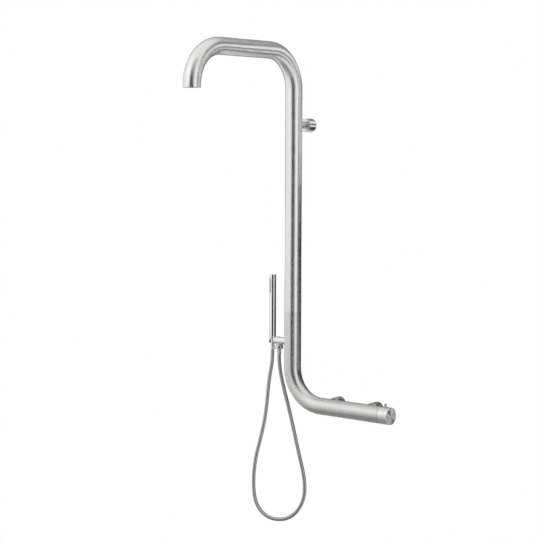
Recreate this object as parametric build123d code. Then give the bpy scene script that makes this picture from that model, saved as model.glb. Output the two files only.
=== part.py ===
from build123d import *

import math
import os

# Wall-mounted outdoor shower: a bent stainless tube with a spout, a mixer bar and a hand shower.
# Millimetres. +X runs along the wall to the right, -Y comes out of the wall, +Z is up.
# The origin lies on the wall, midway between the two water inlets.

# Main tube
tube_radius = 27.0
tube_wall = 2.0
tube_bore = tube_radius - tube_wall
axis_to_wall = 88.0
riser_to_inlets = 203.0
top_height = 1123.0
spout_reach = 470.0
mouth_run = 8.0
top_bend_radius = 120.0
low_bend_radius = 115.0
bar_reach = 357.0
seam_height = 294.0
seam_gap = 0.6
edge_chamfer = 0.4

# Clearances
slip = 0.1
running = 0.08
press_gap = 0.05
body_gap = 0.3
end_gap = 1.0
cut_over = 1.0

# Joint sleeve at the riser seam
spigot_half = 42.0
spigot_wall = 3.0
ring_wire = 1.0
ring_groove = 1.6
groove_depth = 1.7
spigot_ring_offset = 30.0
riser_screw_drop = 15.0
riser_screw_radius = 2.5
riser_screw_length = 5.5
riser_screw_angle = 40.0
hex_radius = 1.4
hex_depth = 2.0

# Spray head in the spout mouth
spray_recess = 0.8
spray_plate_thickness = 2.5
nozzle_radius = 1.5
nozzle_drop = 1.0
nozzle_ring_radii = (0.0, 8.0, 16.5)
nozzle_ring_counts = (1, 6, 12)
spray_mat_thickness = 1.5
spray_mat_radius = 22.0
chamber_radius = 22.8
chamber_height = 9.0
chamber_wall = 2.0
chamber_flange = 4.0
chamber_neck_radius = 9.0
chamber_rib = 1.0
chamber_water_gap = 1.5

# Feed pipes inside the tubes
spout_pipe_radius = 6.0
hand_pipe_radius = 5.0
pipe_wall = 1.0
pipe_socket_depth = 6.0
hand_pipe_offset = 14.0
pipe_bend_radius = 108.0
elbow_radius = 7.5

# Valve body in the mixer bar
inlet_spacing = 150.0
valve_right = 128.0
valve_waist_radius = 19.0
valve_land_half = 12.0
gallery_radius = 4.0
gallery_offset = 13.0
port_floor = 8.0
cartridge_radius = 17.5
cartridge_depth = 32.0
cartridge_wall = 2.5
cartridge_floor = 4.0
disc_radius = 14.0
disc_thickness = 4.0
disc_port_radius = 2.6
disc_film = 0.05
port_circle_radius = 9.0
stem_radius = 4.5
stem_collar_radius = 13.0
stem_collar_thickness = 5.0
stem_flat_height = 3.5
stem_setback = 1.5
cartridge_nut_radius = 22.0
cartridge_nut_grip = 6.0
cartridge_nut_lip = 3.0
cartridge_nut_key = 1.5
cartridge_nut_key_circle_radius = 14.0

# Control knob at the bar end
knob_length = 35.0
knob_wall = 3.5
knob_web = 6.0
knob_cap_thickness = 5.0
knob_cap_face = 2.4
knob_cap_sink = 0.3
knob_cap_rim = 1.6
knob_hub_length = 6.0
knob_chamfer = 1.2
knob_hub_radius = 9.0
knob_screw_radius = 2.0
knob_screw_length = 10.0
knob_screw_head = 3.6
knob_screw_head_height = 2.2
pin_radius = 4.0
pin_height = 10.0
pin_from_end = 22.0
pin_tail_radius = 2.5
pin_edge = 0.6
pin_tail_gap = 0.5
guide_length = 14.0
guide_nose = 8.0
guide_wall = 2.0

# Inlets behind the bar, two alike
post_radius = 12.0
post_bore = 8.5
post_spigot_radius = 9.5
post_collar_radius = 13.0
post_collar = 2.0
union_length = 16.0
union_flange_radius = 15.0
union_flange = 4.0
union_thread_radius = 13.2
union_bore = 7.5
wall_thread_radius = 10.4775
wall_thread_length = 15.0
washer_thickness = 3.0
union_nut_flats = 30.0
union_nut_length = 15.0
union_nut_lip = 3.0
post_way = 5.0
check_valve_length = 12.0
check_valve_setback = 14.0
check_shell_wall = 1.5
check_seat_radius = 4.0
check_poppet_radius = 6.0
check_poppet_thickness = 1.5
check_stem_radius = 1.2
check_hole_radius = 1.7
check_hole_circle_radius = 4.4
check_stem_end = 0.5

# Rosettes, three alike
rosette_radius = 22.0
rosette_depth = 33.0
rosette_wall = 1.5
rosette_edge = 1.0

# Upper wall bracket
bracket_below_bend = 111.0
bracket_plate_radius = 19.0
bracket_plate = 5.0
bracket_boss_radius = 8.5
bracket_boss = 4.0
bracket_stud_radius = 5.0
bracket_stud = 18.0
bracket_hole_radius = 2.3
bracket_hole_circle_radius = 13.5
bracket_hole_count = 3
bracket_screw_radius = 2.0
bracket_screw_from_wall = 20.0
post_stud_radius = 4.0
weld_boss_radius = 8.0
weld_boss = 10.0

# Hand shower holder on the left of the riser
holder_height = 196.0
holder_radius = 12.5
holder_reach = 93.0
holder_edge = 0.8
holder_stub_radius = 7.0
holder_stub_length = 12.0
holder_channel = 5.0
holder_slot = 15.5
hand_offset = 80.7
hand_forward = 5.6
outlet_offset = 57.0

# Hose connection under the holder
outlet_thread_radius = 10.4775
outlet_nut_radius = 13.0
outlet_nut_length = 12.4
outlet_nut_top = 15.0
outlet_nut_edge = 1.6
outlet_grip = 8.5
nipple_tail_radius = 7.0
nipple_bore = 4.5
hose_washer_thickness = 2.0
hose_washer_rise = 10.0
ferrule_flange = 2.2
ferrule_radius = 6.0
ferrule_bore = 4.0
crimp_radius = 6.6
crimp_length = 13.0

# Hand shower
hand_radius = 11.0
hand_wall = 1.5
hand_top = 411.0
cone_low_rise = 3.5
cone_high_rise = 20.0
cone_low_radius = 9.8
cone_straight = 6.5
cone_thread_radius = 9.0
cone_ferrule_flange_radius = 8.4
connector_spigot = 16.0
connector_bore = 5.0
hand_cap = 2.0
hand_cap_plug = 8.0
strip_low = 352.0
strip_high = 399.0
strip_width = 11.0
strip_rows = 6
strip_columns = 3
strip_pitch = 7.4
strip_column_angle = 16.0
strip_nozzle_radius = 1.0
strip_nozzle_height = 0.8
strip_thickness = 1.2
hand_turn = 20.0
insert_bore = 5.5
insert_margin = 7.0

# Hose: it hangs in the vertical plane through its two ends.
# Each point is (distance from the outlet towards the hand shower, height).
hose_radius = 6.0
hose_bore = 4.0
hose_exit_height = 151.0
hose_exit_run = 33.0
hose_end_height = 164.0
hose_end_run = 35.0
hose_arc_share = 0.45
hose_points = (
    (-11.0, 61.0),
    (-42.0, -45.0),
    (-71.0, -163.0),
    (-98.0, -264.0),
    (-89.0, -336.0),
    (-41.0, -390.0),
    (29.0, -400.0),
    (79.0, -367.0),
    (95.0, -307.0),
    (90.0, -212.0),
    (63.0, -116.0),
    (48.0, -47.0),
    (37.0, 67.0),
)

# Places worked out from the sizes above
riser_x = -riser_to_inlets
pipe_y = -axis_to_wall
spout_y = pipe_y - spout_reach
mouth_height = top_height - top_bend_radius - mouth_run
bracket_height = top_height - top_bend_radius - bracket_below_bend
spray_plate_low = mouth_height + spray_recess
spray_seat = spray_plate_low + spray_plate_thickness
spray_screw_height = spray_seat + chamber_flange / 2
chamber_pipe_seat = spray_seat + chamber_height - chamber_wall
bar_end = riser_x + bar_reach
knob_start = bar_end + seam_gap
knob_end = knob_start + knob_length
pin_x = knob_end - pin_from_end
inlet_xs = (-inlet_spacing / 2, inlet_spacing / 2)
hand_x = riser_x - hand_offset
hand_y = pipe_y - hand_forward
outlet_x = riser_x - outlet_offset
post_end = -union_length - washer_thickness
check_end = post_end - check_valve_setback
check_start = check_end - check_valve_length
valve_left = riser_x + low_bend_radius
pocket_floor = valve_right - cartridge_depth
holder_low = holder_height - holder_radius
nut_high = holder_height - outlet_nut_top
nut_low = nut_high - outlet_nut_length
cone_low = holder_height + cone_low_rise
cone_high = holder_height + cone_high_rise
elbow_x = riser_x - hand_pipe_offset
elbow_seat = holder_height - 2 * hand_pipe_radius
cap_start = knob_end - knob_cap_thickness
web_start = cap_start - knob_web
stem_end = cap_start - stem_setback
knob_cap_radius = tube_radius - knob_cap_rim
turning_disc_start = pocket_floor + cartridge_floor + disc_thickness + disc_film
stem_start = turning_disc_start + disc_thickness
nipple_top = holder_height - holder_channel
outlet_washer_low = nut_high - outlet_grip - hose_washer_thickness
cone_washer_high = holder_height + hose_washer_rise
cone_washer_low = cone_washer_high - hose_washer_thickness
cone_ledge = cone_washer_low - 2 * running - ferrule_flange

# Directions for turned pieces, whose profiles are drawn about +Z
ALONG_X = Rot(0, 90, 0)
ALONG_Y = Rot(-90, 0, 0)


def rod_x(radius, start, end, y=pipe_y, z=0.0):
    return Pos((start + end) / 2, y, z) * ALONG_X * Cylinder(radius, end - start)


def rod_y(radius, start, end, x=0.0, z=0.0):
    return Pos(x, (start + end) / 2, z) * ALONG_Y * Cylinder(radius, end - start)


def rod_z(radius, start, end, x=0.0, y=pipe_y):
    return Pos(x, y, (start + end) / 2) * Cylinder(radius, end - start)


def turned(points):
    """Revolve a closed outline of (radius, height) points about Z."""
    outline = Polyline(*points, close=True)
    return revolve(Plane.XZ * make_face(outline), Axis.Z)


def o_ring(inner, wire):
    return Torus(inner + wire, wire)


def tube_along(path, outer, inner):
    start = Plane(origin=path @ 0, z_dir=path % 0)
    return sweep(start * Circle(outer), path=path) - sweep(start * Circle(inner), path=path)


def bent_pipe(path, outer, inner):
    """A pipe whose straight runs are true cylinders, joined by swept bends."""
    runs = []
    for edge in path.edges():
        ring = Plane(origin=edge @ 0, z_dir=edge % 0) * (Circle(outer) - Circle(inner))
        straight = edge.geom_type == GeomType.LINE
        runs.append(extrude(ring, edge.length) if straight else sweep(ring, path=edge))
    return Part() + runs


def grub_screw(radius, length):
    """A set screw about Z, its socket in the face at z = length."""
    body = Cylinder(radius, length, align=(Align.CENTER, Align.CENTER, Align.MIN))
    socket = extrude(RegularPolygon(hex_radius, 6), hex_depth)
    return body - Pos(0, 0, length - hex_depth) * socket


def spout_riser_tube():
    path = FilletPolyline(
        (riser_x, pipe_y, seam_height + seam_gap),
        (riser_x, pipe_y, top_height),
        (riser_x, spout_y, top_height),
        (riser_x, spout_y, mouth_height),
        radius=top_bend_radius,
    )
    tube = bent_pipe(path, tube_radius, tube_bore)
    reach = tube_radius + cut_over
    tube -= rod_y(post_stud_radius + slip, pipe_y, pipe_y + reach, riser_x, bracket_height)
    return tube - rod_y(bracket_screw_radius + slip, spout_y, spout_y + reach, riser_x, spray_screw_height)


def mixer_bar_tube():
    path = FilletPolyline(
        (riser_x, pipe_y, seam_height),
        (riser_x, pipe_y, 0),
        (bar_end, pipe_y, 0),
        radius=low_bend_radius,
    )
    tube = bent_pipe(path, tube_radius, tube_bore)
    reach = tube_radius + cut_over
    for x in inlet_xs:
        tube -= rod_y(post_spigot_radius + slip, pipe_y, pipe_y + reach, x)
    tube -= rod_x(holder_stub_radius + slip, riser_x - reach, riser_x, pipe_y, holder_height)
    for place in riser_screw_places(0.0):
        tube -= place * Cylinder(riser_screw_radius + press_gap, 4 * tube_wall)
    return tube


def riser_screw_places(inset):
    """Frames of the two set screws behind the riser, pointing outwards at the tube's surface."""
    for side in (-1, 1):
        around = Pos(riser_x, pipe_y, seam_height - riser_screw_drop)
        turn = Rot(0, 0, 90 + side * riser_screw_angle)
        yield around * turn * Pos(tube_radius - inset, 0, 0) * ALONG_X


def riser_grub_screws():
    screw = grub_screw(riser_screw_radius, riser_screw_length)
    return [place * screw for place in riser_screw_places(riser_screw_length + slip)]


def spigot_grooves():
    return [seam_height + spigot_ring_offset, seam_height - spigot_ring_offset]


def riser_spigot():
    outer = tube_bore - slip
    lip = tube_bore + tube_wall / 2
    low = seam_height - spigot_half
    high = seam_height + spigot_half
    body = rod_z(outer, low, high, riser_x) + rod_z(lip, seam_height, seam_height + seam_gap, riser_x)
    body -= rod_z(outer - spigot_wall, low - cut_over, high + cut_over, riser_x)
    for z in spigot_grooves():
        half = ring_groove / 2 + slip
        groove = rod_z(outer + cut_over, z - half, z + half, riser_x)
        body -= groove - rod_z(outer - groove_depth, z - half, z + half, riser_x)
    for place in riser_screw_places(riser_screw_length + slip):
        pocket = Cylinder(
            riser_screw_radius + press_gap, 2 * tube_radius, align=(Align.CENTER, Align.CENTER, Align.MIN)
        )
        body -= place * pocket
    return body


def riser_o_rings():
    inner = tube_bore - slip - groove_depth
    wire = (groove_depth + slip) / 2 - press_gap
    return [Pos(riser_x, pipe_y, z) * o_ring(inner + press_gap, wire) for z in spigot_grooves()]


def nozzle_places():
    for ring_radius, count in zip(nozzle_ring_radii, nozzle_ring_counts):
        for place in PolarLocations(ring_radius, count):
            yield place


def spray_plate():
    plate = rod_z(tube_bore - slip, spray_plate_low, spray_seat, riser_x, spout_y)
    middle = Pos(riser_x, spout_y, spray_plate_low)
    for place in nozzle_places():
        plate -= middle * place * Cylinder(nozzle_radius + slip, 3 * spray_plate_thickness)
    return plate


def spray_nozzle_mat():
    mat = rod_z(spray_mat_radius, spray_seat, spray_seat + spray_mat_thickness, riser_x, spout_y)
    nozzle = rod_z(nozzle_radius, spray_plate_low - nozzle_drop, spray_seat, 0, 0)
    for place in nozzle_places():
        mat += Pos(riser_x, spout_y, 0) * place * nozzle
    return mat


def spray_chamber():
    inside = spray_mat_radius + slip
    roof = spray_mat_thickness + chamber_water_gap
    flange = tube_bore - slip
    profile = [
        (inside, 0),
        (flange - groove_depth, 0),
        (flange - groove_depth, ring_groove),
        (flange, ring_groove),
        (flange, chamber_flange),
        (chamber_radius, chamber_flange),
        (chamber_radius, chamber_flange + chamber_rib),
        (chamber_neck_radius, chamber_height - chamber_wall),
        (chamber_neck_radius, chamber_height + pipe_socket_depth / 2),
        (spout_pipe_radius + body_gap, chamber_height + pipe_socket_depth / 2),
        (spout_pipe_radius + body_gap, chamber_height - chamber_wall),
        (spout_pipe_radius - pipe_wall, chamber_height - chamber_wall),
        (spout_pipe_radius - pipe_wall, roof),
        (inside, roof),
    ]
    return Pos(riser_x, spout_y, spray_seat) * turned(profile)


def spray_o_ring():
    inner = tube_bore - slip - groove_depth + press_gap
    wire = ring_groove / 2 - press_gap
    return Pos(riser_x, spout_y, spray_seat + ring_groove / 2) * o_ring(inner, wire)


def spray_grub_screw():
    screw = grub_screw(bracket_screw_radius - slip, tube_wall)
    return Pos(riser_x, spout_y + tube_bore + slip, spray_screw_height) * ALONG_Y * screw


def spout_feed_pipe():
    start = valve_left + pipe_socket_depth
    path = FilletPolyline(
        (start, pipe_y, 0),
        (riser_x, pipe_y, 0),
        (riser_x, pipe_y, top_height),
        (riser_x, spout_y, top_height),
        (riser_x, spout_y, chamber_pipe_seat),
        radius=[low_bend_radius, pipe_bend_radius, pipe_bend_radius],
    )
    return bent_pipe(path, spout_pipe_radius, spout_pipe_radius - pipe_wall)


def handset_feed_pipe():
    start = valve_left + pipe_socket_depth
    path = FilletPolyline(
        (start, pipe_y, -hand_pipe_offset),
        (elbow_x, pipe_y, -hand_pipe_offset),
        (elbow_x, pipe_y, elbow_seat),
        radius=low_bend_radius + hand_pipe_offset,
    )
    return bent_pipe(path, hand_pipe_radius, hand_pipe_radius - pipe_wall)


def holder_elbow():
    """The fitting inside the riser that turns the hand shower's water into the holder."""
    low = elbow_seat - pipe_socket_depth
    high = holder_height + holder_stub_radius
    stub_end = riser_x - tube_radius - holder_stub_length
    body = rod_z(elbow_radius, low, high, elbow_x)
    body += rod_x(holder_stub_radius, stub_end, elbow_x, pipe_y, holder_height)
    body -= rod_z(hand_pipe_radius + press_gap, low - cut_over, elbow_seat, elbow_x)
    body -= rod_z(hand_pipe_radius - pipe_wall, low, holder_height, elbow_x)
    return body - rod_x(hand_pipe_radius - pipe_wall, stub_end - cut_over, elbow_x, pipe_y, holder_height)


def valve_body():
    """The turned core of the mixer, with its inlet ports, galleries and cartridge pocket."""
    land = tube_bore - slip
    body = rod_x(valve_waist_radius, valve_left, valve_right)
    body += rod_x(land, valve_left, inlet_xs[0])
    body += rod_x(land, pocket_floor - cartridge_floor, valve_right)
    for x in inlet_xs:
        body += rod_x(land, x - valve_land_half, x + valve_land_half)
    for x in inlet_xs:
        body -= rod_y(post_spigot_radius + press_gap, pipe_y + port_floor, pipe_y + tube_radius, x)
    open_end = valve_right + cut_over
    body -= rod_x(cartridge_radius + press_gap, pocket_floor, open_end)
    body -= rod_x(cartridge_nut_radius + press_gap, valve_right - cartridge_nut_grip, open_end)
    return body - valve_galleries()


def valve_galleries():
    """Ways for the spout, the hand shower, the cold water round its port, and the hot water."""
    cold_x, hot_x = inlet_xs
    left = valve_left - cut_over
    far = pocket_floor + cut_over
    near = pipe_y + port_floor + gallery_radius
    ways = rod_x(gallery_radius, left, far)
    ways += rod_x(gallery_radius, left, far, pipe_y, -gallery_offset)
    ways += rod_x(gallery_radius, cold_x, far, pipe_y, gallery_offset)
    ways += rod_y(gallery_radius, pipe_y, near, cold_x, gallery_offset)
    ways += rod_z(gallery_radius, 0, gallery_offset, cold_x, near)
    ways += rod_x(gallery_radius, hot_x, far, pipe_y + gallery_offset)
    socket_end = valve_left + pipe_socket_depth
    ways += rod_x(spout_pipe_radius + press_gap, left, socket_end)
    ways += rod_x(hand_pipe_radius + press_gap, left, socket_end, pipe_y, -hand_pipe_offset)
    return ways


def water_ways(start, end):
    """The four drilled ways of the cartridge, one in the middle and three on a circle."""
    ways = rod_x(disc_port_radius, start, end)
    for y, z in ((0, port_circle_radius), (0, -port_circle_radius), (port_circle_radius, 0)):
        ways += rod_x(disc_port_radius, start, end, pipe_y + y, z)
    return ways


def cartridge_housing():
    front = valve_right - cartridge_floor
    body = rod_x(cartridge_radius, pocket_floor, valve_right)
    body -= rod_x(cartridge_radius - cartridge_wall, pocket_floor + cartridge_floor, front)
    body -= rod_x(stem_radius + running, front - cut_over, valve_right + cut_over)
    return body - water_ways(pocket_floor - cut_over, pocket_floor + cartridge_floor + cut_over)


def ceramic_disc_fixed():
    start = pocket_floor + cartridge_floor
    return rod_x(disc_radius, start, start + disc_thickness) - water_ways(start - cut_over, stem_start)


def ceramic_disc_turning():
    """The disc that turns with the stem: its half-moon chamber opens one outer way, but joins none."""
    disc = rod_x(disc_radius, turning_disc_start, stem_start)
    chamber_end = turning_disc_start + disc_thickness / 2
    chamber = rod_x(port_circle_radius + disc_port_radius, turning_disc_start - cut_over, chamber_end)
    kept = Pos(turning_disc_start, pipe_y - disc_port_radius - tube_radius, 0)
    chamber &= kept * Box(4 * disc_thickness, 2 * tube_radius, 2 * tube_radius)
    return disc - chamber


def flatted_rod(radius, flat_height, start, end):
    """A rod along the bar's axis with one flat, at this height above the axis."""
    above = Box(end - start + 2 * cut_over, 2 * tube_radius, 2 * tube_radius)
    return rod_x(radius, start, end) - Pos((start + end) / 2, pipe_y, flat_height + tube_radius) * above


def cartridge_stem():
    collar_end = stem_start + stem_collar_thickness
    stem = rod_x(stem_collar_radius, stem_start, collar_end) + rod_x(stem_radius, stem_start, web_start)
    stem += flatted_rod(stem_radius, stem_flat_height, web_start, stem_end)
    return stem - rod_x(knob_screw_radius + press_gap, stem_end - knob_screw_length, stem_end + cut_over)


def cartridge_nut():
    grip = valve_right - cartridge_nut_grip
    end = valve_right + cartridge_nut_lip
    nut = rod_x(cartridge_nut_radius, grip, end)
    nut -= rod_x(cartridge_radius + slip, grip - cut_over, valve_right)
    nut -= rod_x(stem_radius + end_gap, grip, end + cut_over)
    for place in PolarLocations(cartridge_nut_key_circle_radius, 4):
        key = Pos(end, pipe_y, 0) * ALONG_X * place
        nut -= key * Cylinder(cartridge_nut_key, 2 * cartridge_nut_lip)
    return nut


def knob_guide_ring():
    """The plastic ring pressed into the bar's end, on whose nose the knob turns."""
    nose = tube_radius - knob_wall - running
    ring = rod_x(tube_bore - press_gap, bar_end - guide_length, bar_end)
    end = knob_start + guide_nose
    ring += rod_x(nose, bar_end, end)
    return ring - rod_x(nose - guide_wall, bar_end - guide_length - cut_over, end + cut_over)


def control_knob():
    body = rod_x(tube_radius, knob_start, knob_end)
    body = chamfer(body.edges().group_by(Axis.X)[-1], knob_chamfer)
    body = chamfer(body.edges().group_by(Axis.X)[0], edge_chamfer)
    body -= rod_x(tube_radius - knob_wall, knob_start - cut_over, web_start)
    body -= rod_x(knob_cap_radius + press_gap, cap_start, knob_end + cut_over)
    body += rod_x(knob_hub_radius, web_start - knob_hub_length, web_start)
    body -= flatted_rod(stem_radius + press_gap, stem_flat_height + press_gap, web_start, stem_end)
    body -= rod_x(stem_radius + slip, web_start - knob_hub_length - cut_over, web_start)
    body -= rod_x(knob_screw_radius + slip, stem_end - cut_over, cap_start + cut_over)
    tail = tube_radius - knob_wall - cut_over
    return body - rod_z(pin_tail_radius + press_gap, tail, tube_radius + cut_over, pin_x)


def knob_pin():
    top = tube_radius + pin_height
    pin = rod_z(pin_radius, tube_radius - pin_radius, top, pin_x)
    pin = chamfer(pin.edges().group_by(Axis.Z)[-1], pin_edge)
    pin -= rod_x(tube_radius + press_gap, pin_x - 2 * pin_radius, pin_x + 2 * pin_radius)
    tail_low = tube_radius - knob_wall + pin_tail_gap
    return pin + rod_z(pin_tail_radius, tail_low, tube_radius + pin_edge, pin_x)


def knob_end_cap():
    cap = rod_x(knob_cap_radius, cap_start, knob_end - knob_cap_sink)
    hollow = knob_cap_radius - 2 * knob_cap_rim
    return cap - rod_x(hollow, cap_start - cut_over, knob_end - knob_cap_sink - knob_cap_face)


def knob_screw():
    shank = rod_x(knob_screw_radius, stem_end - knob_screw_length + end_gap, cap_start)
    head = rod_x(knob_screw_head, cap_start, cap_start + knob_screw_head_height)
    socket = Pos(cap_start + knob_screw_head_height - hex_depth, pipe_y, 0) * ALONG_X
    return shank + head - socket * extrude(RegularPolygon(hex_radius, 6), 2 * hex_depth)


def at_inlets(piece):
    """Copies of a piece made on the origin's Y axis, one at each water inlet."""
    return [Pos(x, 0, 0) * piece for x in inlet_xs]


def inlet_post():
    front = pipe_y + port_floor + body_gap
    post = rod_y(post_radius, pipe_y, post_end)
    post -= Pos(0, pipe_y, 0) * ALONG_X * Cylinder(tube_radius, 4 * post_radius)
    post += rod_y(post_spigot_radius, front, post_end)
    post += rod_y(post_collar_radius, post_end - post_collar, post_end)
    post -= rod_y(post_way, front - cut_over, post_end)
    return post - rod_y(post_bore, check_start, post_end + cut_over)


def check_valve_shell():
    """The shell of a check cartridge: its seat faces the wall, its guide bridge the bar."""
    outer = post_bore - press_gap
    shell = rod_y(outer, check_start, check_end)
    shell -= rod_y(outer - check_shell_wall, check_start + check_shell_wall, check_end - check_shell_wall)
    shell -= rod_y(check_seat_radius, check_end - check_shell_wall - cut_over, check_end + cut_over)
    guide_end = check_start + check_shell_wall + cut_over
    shell -= rod_y(check_stem_radius + slip, check_start - cut_over, guide_end)
    bridge = Pos(0, check_start, 0) * ALONG_Y
    for place in PolarLocations(check_hole_circle_radius, 4):
        shell -= bridge * place * Cylinder(check_hole_radius, 4 * check_shell_wall)
    return shell


def check_poppet(x):
    """A check valve's poppet, shut: its disc lies on the seat and its stem in the guide."""
    face = check_end - check_shell_wall - press_gap
    poppet = rod_y(check_poppet_radius, face - check_poppet_thickness, face, x)
    return poppet + rod_y(check_stem_radius, check_start + check_stem_end, face, x)


def wall_union():
    union = rod_y(union_thread_radius, -union_length, -union_flange)
    union += rod_y(union_flange_radius, -union_flange, 0)
    union += rod_y(wall_thread_radius, 0, wall_thread_length)
    return union - rod_y(union_bore, -union_length - cut_over, wall_thread_length + cut_over)


def filter_washer():
    ring = rod_y(union_thread_radius - slip, post_end, -union_length)
    return ring - rod_y(union_bore, post_end - cut_over, -union_length + cut_over)


def union_nut():
    lip_start = post_end - post_collar - union_nut_lip
    start = Pos(0, lip_start, 0) * ALONG_Y
    nut = start * extrude(RegularPolygon(union_nut_flats / 2, 6, major_radius=False), union_nut_length)
    thread_start = lip_start + union_nut_lip
    nut -= rod_y(post_radius + slip, lip_start - cut_over, thread_start + cut_over)
    return nut - rod_y(union_thread_radius + slip, thread_start, lip_start + union_nut_length + cut_over)


def rosette():
    """A deep cup that slides over a post and covers the fixing on the wall."""
    cup = rod_y(rosette_radius, -rosette_depth, 0)
    cup = chamfer(cup.edges().group_by(Axis.Y)[0], rosette_edge)
    cup -= rod_y(rosette_radius - rosette_wall, -rosette_depth + rosette_wall, cut_over)
    return cup - rod_y(post_radius + slip, -rosette_depth - cut_over, 0)


def at_rosettes(piece):
    """Copies of a piece made on the origin's Y axis, at both inlets and at the upper bracket."""
    return at_inlets(piece) + [Pos(riser_x, 0, bracket_height) * piece]


def bracket_post():
    end = -bracket_plate - bracket_boss
    post = rod_y(post_radius, pipe_y, end, riser_x, bracket_height)
    post -= rod_z(tube_radius, bracket_height - 2 * post_radius, bracket_height + 2 * post_radius, riser_x)
    stud_start = pipe_y + tube_bore - weld_boss + end_gap
    post += rod_y(post_stud_radius, stud_start, pipe_y + 2 * tube_radius, riser_x, bracket_height)
    stud_bore = bracket_stud_radius + press_gap
    post -= rod_y(stud_bore, end - bracket_stud, end + cut_over, riser_x, bracket_height)
    bottom = bracket_height - post_radius - cut_over
    hole_y = -bracket_screw_from_wall
    return post - rod_z(bracket_screw_radius + press_gap, bottom, bracket_height, riser_x, hole_y)


def bracket_weld_boss():
    start = pipe_y + tube_bore - weld_boss
    boss = rod_y(weld_boss_radius, start, pipe_y + tube_bore, riser_x, bracket_height)
    low = bracket_height - 2 * weld_boss_radius
    boss &= rod_z(tube_bore - press_gap, low, low + 4 * weld_boss_radius, riser_x)
    end = pipe_y + tube_radius
    return boss - rod_y(post_stud_radius + press_gap, start - cut_over, end, riser_x, bracket_height)


def bracket_wall_plate():
    plate = rod_y(bracket_plate_radius, -bracket_plate, 0, riser_x, bracket_height)
    seat = -bracket_plate - bracket_boss
    plate += rod_y(bracket_boss_radius, seat, -bracket_plate, riser_x, bracket_height)
    plate += rod_y(bracket_stud_radius, seat - bracket_stud + end_gap, seat, riser_x, bracket_height)
    middle = Pos(riser_x, -bracket_plate / 2, bracket_height) * ALONG_Y
    for place in PolarLocations(bracket_hole_circle_radius, bracket_hole_count):
        plate -= middle * place * Cylinder(bracket_hole_radius, 2 * bracket_plate)
    return plate


def bracket_grub_screw():
    depth = post_radius - bracket_stud_radius - slip
    screw = grub_screw(bracket_screw_radius, depth - body_gap)
    top = bracket_height - bracket_stud_radius - slip
    return Pos(riser_x, -bracket_screw_from_wall, top) * Rot(180, 0, 0) * screw


def rosette_o_ring():
    """The rubber ring inside a rosette that grips its post."""
    middle = -rosette_depth + rosette_wall + ring_wire + press_gap
    return Pos(0, middle, 0) * ALONG_Y * o_ring(post_radius + press_gap, ring_wire)


def handset_holder():
    below = holder_low - cut_over
    above = holder_low + 2 * holder_radius + cut_over
    end = riser_x - holder_reach
    body = rod_x(holder_radius, end, riser_x, pipe_y, holder_height)
    body = chamfer(body.edges().group_by(Axis.X)[0], holder_edge)
    body -= rod_z(tube_radius, below, above, riser_x)
    stub_end = riser_x - tube_radius - holder_stub_length
    body -= rod_x(holder_stub_radius + press_gap, stub_end, riser_x, pipe_y, holder_height)
    body -= rod_x(holder_channel, outlet_x, riser_x, pipe_y, holder_height)
    body -= rod_z(nipple_tail_radius + press_gap, below, nipple_top, outlet_x)
    seat = cone_profile(body_gap)
    body -= Pos(hand_x, hand_y, 0) * turned(seat)
    body -= rod_z(holder_slot / 2, below, cone_low, hand_x, hand_y)
    slot_depth = 2 * holder_radius
    slot = Pos(hand_x, hand_y - slot_depth / 2, holder_height)
    return body - slot * Box(holder_slot, slot_depth, 3 * holder_radius)


def cone_profile(gap):
    """The outline of the conical nut, as radius and height, enlarged by a gap."""
    return [
        (0, cone_low - gap),
        (cone_low_radius + gap, cone_low - gap),
        (hand_radius + gap, cone_high - cone_straight),
        (hand_radius + gap, cone_high + gap),
        (0, cone_high + gap),
    ]


def outlet_nipple():
    """The threaded nipple under the holder: its tail screws into the holder."""
    low = nut_high - outlet_grip
    nipple = rod_z(outlet_thread_radius, low, holder_height, outlet_x)
    reach = 2 * holder_radius
    nipple -= rod_x(holder_radius, outlet_x - reach, outlet_x + reach, pipe_y, holder_height)
    nipple += rod_z(nipple_tail_radius, low, nipple_top, outlet_x)
    return nipple - rod_z(nipple_bore, low - cut_over, nipple_top + cut_over, outlet_x)


def ferrule(flange_radius, shank_top, sleeve_top):
    """A hose end about Z: flange, shank and crimped sleeve, bored through."""
    piece = Pos(0, 0, shank_top - ferrule_flange / 2) * Cylinder(flange_radius, ferrule_flange)
    low = sleeve_top - crimp_length
    piece += Pos(0, 0, (shank_top + low) / 2) * Cylinder(ferrule_radius, shank_top - low)
    piece += Pos(0, 0, sleeve_top - crimp_length / 2) * Cylinder(crimp_radius, crimp_length)
    bore_length = shank_top - low + 2 * cut_over
    return piece - Pos(0, 0, (shank_top + low) / 2) * Cylinder(ferrule_bore, bore_length)


def hose_outlet_nut():
    nut = rod_z(outlet_nut_radius, nut_low, nut_high, outlet_x)
    nut = fillet(nut.edges(), outlet_nut_edge)
    inner_low = outlet_washer_low - ferrule_flange - slip
    nut -= rod_z(outlet_thread_radius + slip, inner_low, nut_high + cut_over, outlet_x)
    return nut - rod_z(ferrule_radius + running, nut_low - cut_over, nut_high, outlet_x)


def outlet_washer():
    ring = rod_z(outlet_thread_radius - slip, outlet_washer_low, nut_high - outlet_grip, outlet_x)
    return ring - rod_z(nipple_bore, outlet_washer_low - cut_over, nut_high, outlet_x)


def hose_outlet_ferrule():
    piece = ferrule(outlet_thread_radius - slip, outlet_washer_low, hose_exit_height + crimp_length)
    return Pos(outlet_x, pipe_y, 0) * piece


def hose_handset_ferrule():
    piece = ferrule(cone_ferrule_flange_radius, cone_washer_low - running, hose_end_height + crimp_length)
    return Pos(hand_x, hand_y, 0) * piece


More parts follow.
